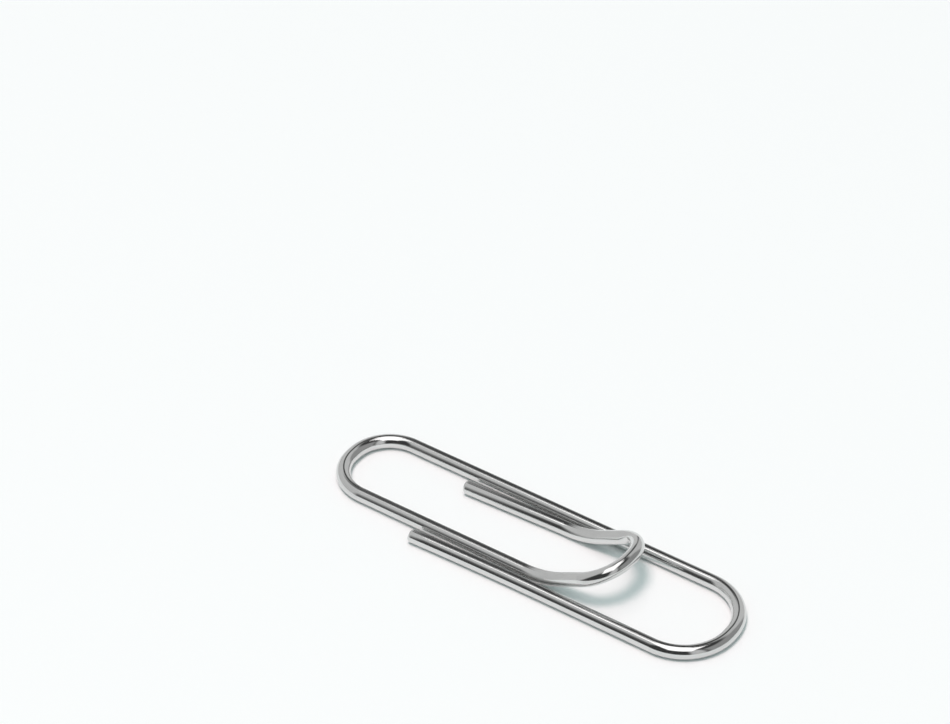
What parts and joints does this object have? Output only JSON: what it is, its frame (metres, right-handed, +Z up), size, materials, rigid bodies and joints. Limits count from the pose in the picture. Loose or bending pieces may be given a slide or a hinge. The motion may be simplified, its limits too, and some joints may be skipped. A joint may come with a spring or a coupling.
{
  "type": "paper clip",
  "caption": "Lipped paper clip bent from round nickel-plated wire; its springy inner tongue ends in a raised lip that slides over a sheaf of paper and grips it.",
  "frame": {"origin": "centre of the clip's outline, on the surface that it lies on", "axes": "+X along the clip to the front bend, where paper goes in; +Y to the long leg; +Z up, the way the lip is raised"},
  "size_m": [0.032, 0.0086, 0.0036],
  "materials": {
    "bright_nickel": "bright nickel plate on drawn low-carbon steel wire"
  },
  "bodies": {
    "frame": {"long_leg": "bright_nickel", "front_bend_far": "bright_nickel", "rear_bend_far": "bright_nickel"},
    "outer_arm": {"front_bend_near": "bright_nickel", "outer_leg": "bright_nickel"},
    "tongue": {"rear_bend_near": "bright_nickel", "inner_leg": "bright_nickel", "lip_near": "bright_nickel"},
    "tail_arm": {"lip_far": "bright_nickel", "tail": "bright_nickel"}
  },
  "joints": [
    {"name": "tongue_flex", "type": "hinge", "parent": "frame", "child": "tongue", "pos_m": [-0.0155, 0.00071, 0.0005], "axis": [0, -1, 0], "range_deg": [0, 8], "stiffness_Nm_per_rad": 0.4},
    {"name": "outer_leg_flex", "type": "hinge", "parent": "frame", "child": "outer_arm", "pos_m": [0.0155, 0.0001, 0.0005], "axis": [0, 1, 0], "range_deg": [0, 5], "stiffness_Nm_per_rad": 0.6},
    {"name": "tail_flex", "type": "hinge", "parent": "tongue", "child": "tail_arm", "pos_m": [0.00759, 0.00014, 0.00312], "axis": [0, 1, 0], "range_deg": [0, 4], "stiffness_Nm_per_rad": 0.85}
  ]
}
